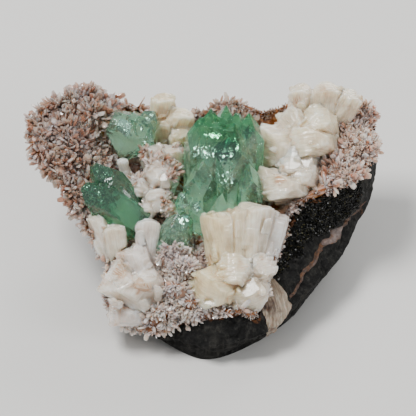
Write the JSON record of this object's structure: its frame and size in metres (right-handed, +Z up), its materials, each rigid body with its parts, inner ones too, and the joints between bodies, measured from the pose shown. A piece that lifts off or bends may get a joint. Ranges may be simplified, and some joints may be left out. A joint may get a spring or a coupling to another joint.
{
  "type": "apophyllite specimen",
  "caption": "Hand specimen of green apophyllite crystals with cream stilbite sheaves on a drusy crust over a dark basalt matrix, flat beneath to rest on.",
  "frame": {"origin": "centre of the flat base the specimen rests on", "axes": "+Z up, +X along the length of the specimen towards the basalt flank on the viewer's right, -Y towards the viewer"},
  "size_m": [0.1212, 0.0838, 0.0607],
  "materials": {
    "basalt": "rough broken vesicular rock, black to dark greenish grey",
    "druse": "sparkling pink-lilac crust of small quartz-like crystals with rust-brown stains",
    "stilbite": "pearly translucent cream blades",
    "apophyllite": "clear green glassy crystal with pearly cleavage glints",
    "wedge": "silky fibrous cream zeolite with brown stains",
    "vein": "pinkish grey vein filling with rusty edges"
  },
  "bodies": {
    "root": {"apophyllite_main": "apophyllite", "apophyllite_front": "apophyllite", "apophyllite_left": "apophyllite", "apophyllite_upper_left": "apophyllite", "stilbite_back_left": "stilbite", "stilbite_middle": "stilbite", "stilbite_small_blade": "stilbite", "stilbite_right_back": "stilbite", "stilbite_right_middle": "stilbite", "stilbite_front": "stilbite", "stilbite_left_front": "stilbite", "stilbite_left_edge": "stilbite", "stilbite_druse_fans": "stilbite", "fibrous_wedge": "wedge", "vein": "vein", "basalt": "basalt", "druse_crust": "druse"}
  },
  "joints": []
}
